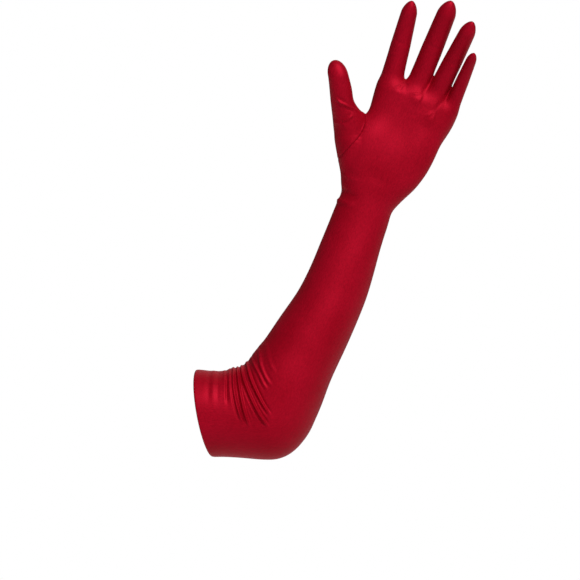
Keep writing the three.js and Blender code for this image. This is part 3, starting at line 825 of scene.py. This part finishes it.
def make_glove():
    outer_palm, outer_thumb = hand_pieces(HAND_VOXEL, 0.0)
    inner_palm, inner_thumb = hand_pieces(INNER_VOXEL, CLOTH + HAND_GAP)

    glove = Parts()
    points, cloth, side = sleeve_outside()
    rows, sides = points.shape[:2]
    glove.add(points.reshape(-1, 3), cloth.reshape(-1, 3), side.ravel(), grid_faces(rows, sides))
    rim = list(range(sides))
    wrist = [(rows - 1) * sides + i for i in range(sides)]
    points, cloth = sleeve_inside()
    inner_rows = points.shape[0]
    clear = np.full(points[..., 0].size, CLEAR_OF_SEAM)
    first = glove.add(points.reshape(-1, 3), cloth.reshape(-1, 3), clear,
                      grid_faces(inner_rows, INNER_SIDES), inner=True)
    glove.zip(rim, list(range(first, first + INNER_SIDES)))
    inner_wrist = [first + (inner_rows - 1) * INNER_SIDES + i for i in range(INNER_SIDES)]

    def palm_part(piece, inner):
        p, faces = piece
        loops = sorted(loops_of(faces), key=lambda loop: np.ptp(p[loop, 1]))
        shown = p if inner else dressed(p, faces)
        seam = np.full(len(p), CLEAR_OF_SEAM) if inner else seam_places(p)
        if not inner:
            seam = signed(seam, np.minimum(np.abs(seam_offset(p)), np.abs(seam)))
        start = glove.add(hand_to_world(shown), hand_cloth(p), seam, faces, inner)
        return [[start + i for i in loop] for loop in (loops[0], loops[-1])]

    to_sleeve, thumb_hole = palm_part(outer_palm, False)
    inner_to_sleeve, inner_hole = palm_part(inner_palm, True)
    glove.zip(wrist, to_sleeve)
    glove.zip(inner_wrist, inner_to_sleeve, inner=True)
    glove.zip(thumb_hole, inner_hole)

    thumb = Parts()
    loops = []
    for (p, faces), inner in ((outer_thumb, False), (inner_thumb, True)):
        shown = p if inner else dressed(p, faces)
        seam = np.full(len(p), CLEAR_OF_SEAM) if inner else thumb_seam_places(p)
        start = thumb.add(hand_to_world(shown), hand_cloth(p), seam, faces, inner)
        border = max(loops_of(faces), key=len)
        loops.append([start + i for i in border])
    thumb.zip(*loops)
    return glove.build("glove_cloth"), thumb.build("thumb_cloth")


# Materials

def satin(name, deep, bright):
    """Crimson stretch satin: a fine grainy weave, tinted highlights, darker sewn seams."""
    mat = bpy.data.materials.new(name)
    mat.use_nodes = True
    nodes, links = mat.node_tree.nodes, mat.node_tree.links
    nodes.clear()

    def node(kind, **values):
        made = nodes.new(kind)
        for key, value in values.items():
            if key in made.inputs:
                made.inputs[key].default_value = value
            else:
                setattr(made, key, value)
        return made

    def link(a, out, b, into):
        links.new(a.outputs[out], b.inputs[into])

    def spread(source, out, low, high, to_low, to_high):
        made = node("ShaderNodeMapRange")
        for key, value in zip(("From Min", "From Max", "To Min", "To Max"), (low, high, to_low, to_high)):
            made.inputs[key].default_value = value
        link(source, out, made, "Value")
        return made

    output = node("ShaderNodeOutputMaterial")
    shader = node("ShaderNodeBsdfPrincipled")
    link(shader, "BSDF", output, "Surface")
    shader.inputs["Metallic"].default_value = 0.27
    shader.inputs["Specular IOR Level"].default_value = 0.2
    shader.inputs["Specular Tint"].default_value = (1.0, 0.16, 0.34, 1.0)

    cloth = node("ShaderNodeAttribute", attribute_name="cloth")
    seam = node("ShaderNodeAttribute", attribute_name="seam")

    stretch = node("ShaderNodeVectorMath", operation="MULTIPLY")
    stretch.inputs[1].default_value = (0.4, 1.0, 1.0)
    link(cloth, "Vector", stretch, 0)
    fibre = node("ShaderNodeTexNoise", Scale=1900.0, Detail=3.0, Roughness=0.6)
    link(stretch, "Vector", fibre, "Vector")
    grain = node("ShaderNodeTexNoise", Scale=780.0, Detail=4.0, Roughness=0.65)
    link(stretch, "Vector", grain, "Vector")
    patch = node("ShaderNodeTexNoise", Scale=30.0, Detail=2.0, Roughness=0.5)
    link(cloth, "Vector", patch, "Vector")

    shade = node("ShaderNodeMix", data_type="RGBA")
    shade.inputs[6].default_value = deep
    shade.inputs[7].default_value = bright
    link(spread(patch, "Fac", 0.3, 0.7, 0.0, 1.0), "Result", shade, 0)
    threads = node("ShaderNodeVectorMath", operation="SCALE")
    link(shade, 2, threads, 0)
    link(spread(fibre, "Fac", 0.35, 0.65, 0.9, 1.08), "Result", threads, "Scale")
    woven = node("ShaderNodeVectorMath", operation="SCALE")
    link(threads, "Vector", woven, 0)
    link(spread(grain, "Fac", 0.35, 0.65, 0.9, 1.1), "Result", woven, "Scale")

    size = node("ShaderNodeMath", operation="ABSOLUTE")
    link(seam, "Fac", size, 0)
    line = node("ShaderNodeMapRange", interpolation_type="SMOOTHSTEP")
    line.inputs["From Min"].default_value = 0.2
    line.inputs["From Max"].default_value = 0.75
    link(size, "Value", line, "Value")
    sewn = node("ShaderNodeVectorMath", operation="SCALE")
    link(woven, "Vector", sewn, 0)
    link(spread(line, "Result", 0.0, 1.0, 0.86, 1.0), "Result", sewn, "Scale")
    link(sewn, "Vector", shader, "Base Color")
    link(spread(grain, "Fac", 0.3, 0.7, 0.38, 0.56), "Result", shader, "Roughness")

    coarse = node("ShaderNodeBump", Strength=0.6, Distance=0.00025)
    link(grain, "Fac", coarse, "Height")
    weave = node("ShaderNodeBump", Strength=0.4, Distance=0.0001)
    link(fibre, "Fac", weave, "Height")
    link(coarse, "Normal", weave, "Normal")
    groove = node("ShaderNodeBump", Strength=0.5, Distance=0.0003)
    link(line, "Result", groove, "Height")
    link(weave, "Normal", groove, "Normal")
    link(groove, "Normal", shader, "Normal")
    return mat


def make_materials():
    outside = satin("crimson_satin", (0.33, 0.0016, 0.0105, 1.0), (0.38, 0.0026, 0.0145, 1.0))
    thumb = satin("crimson_satin_thumb", (0.33, 0.0016, 0.0105, 1.0), (0.38, 0.0026, 0.0145, 1.0))
    inside = satin("crimson_satin_inside", (0.20, 0.0014, 0.008, 1.0), (0.25, 0.002, 0.01, 1.0))
    inside.node_tree.nodes["Principled BSDF"].inputs["Metallic"].default_value = 0.1
    return outside, thumb, inside


# Stage, lights and camera

def plain(name, colour):
    mat = bpy.data.materials.new(name)
    mat.use_nodes = True
    shader = mat.node_tree.nodes["Principled BSDF"]
    shader.inputs["Base Color"].default_value = colour
    shader.inputs["Roughness"].default_value = 0.9
    shader.inputs["Specular IOR Level"].default_value = 0.1
    return mat


FLOOR_RADIUS = 9.0
FLOOR_BELOW = -1.3


def make_stage():
    """A round pale floor, well below the glove."""
    turns = [2 * math.pi * k / 96 for k in range(96)]
    points = [(FLOOR_RADIUS * math.cos(t), FLOOR_RADIUS * math.sin(t), FLOOR_BELOW) for t in turns]
    mesh = bpy.data.meshes.new("floor")
    mesh.from_pydata(points, [], [list(range(len(points)))])
    obj = bpy.data.objects.new("floor", mesh)
    bpy.context.scene.collection.objects.link(obj)
    mesh.materials.append(plain("pale_paper", (0.8, 0.8, 0.8, 1.0)))


def sun(name, place, strength, angle):
    """A broad light from the direction of a place."""
    light = bpy.data.lights.new(name, "SUN")
    light.energy = strength
    light.angle = math.radians(angle)
    obj = bpy.data.objects.new(name, light)
    obj.location = place
    obj.rotation_euler = (-Vector(place)).to_track_quat("-Z", "Y").to_euler()
    bpy.context.scene.collection.objects.link(obj)


def make_lights():
    sun("key", (0.6, -1.0, 1.2), 2.7, 44.0)
    sun("front", (-0.1, -1.3, 0.1), 0.7, 90.0)
    sun("back", (0.3, 1.4, 0.8), 0.4, 60.0)
    world = bpy.data.worlds.new("studio")
    bpy.context.scene.world = world
    world.use_nodes = True
    nodes, links = world.node_tree.nodes, world.node_tree.links
    around = nodes["Background"]
    around.inputs["Color"].default_value = (1.0, 1.0, 1.0, 1.0)
    around.inputs["Strength"].default_value = 0.1
    seen = nodes.new("ShaderNodeBackground")
    seen.inputs["Color"].default_value = (1.0, 1.0, 1.0, 1.0)
    ray = nodes.new("ShaderNodeLightPath")
    either = nodes.new("ShaderNodeMixShader")
    links.new(ray.outputs["Is Camera Ray"], either.inputs[0])
    links.new(around.outputs[0], either.inputs[1])
    links.new(seen.outputs[0], either.inputs[2])
    links.new(either.outputs[0], nodes["World Output"].inputs["Surface"])


CAMERA = (0.0792, -8.0, 0.1144)
PICTURE_WIDTH = 0.5394


def make_camera():
    camera = bpy.data.cameras.new("camera")
    camera.lens = camera.sensor_width * -CAMERA[1] / PICTURE_WIDTH
    obj = bpy.data.objects.new("camera", camera)
    obj.location = CAMERA
    obj.rotation_euler = (math.radians(90), 0.0, 0.0)
    bpy.context.scene.collection.objects.link(obj)
    bpy.context.scene.camera = obj


make_camera()
make_stage()
make_lights()
bpy.context.scene.view_settings.view_transform = "Standard"

glove, thumb = make_glove()
outside_satin, thumb_satin, inside_satin = make_materials()
for obj, outer in ((glove, outside_satin), (thumb, thumb_satin)):
    obj.data.materials.append(outer)
    obj.data.materials.append(inside_satin)
    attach(obj, "root")
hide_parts("upper_sleeve", "forearm_sleeve", "palm",
            "index_finger", "middle_finger", "ring_finger", "little_finger")
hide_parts("thumb")
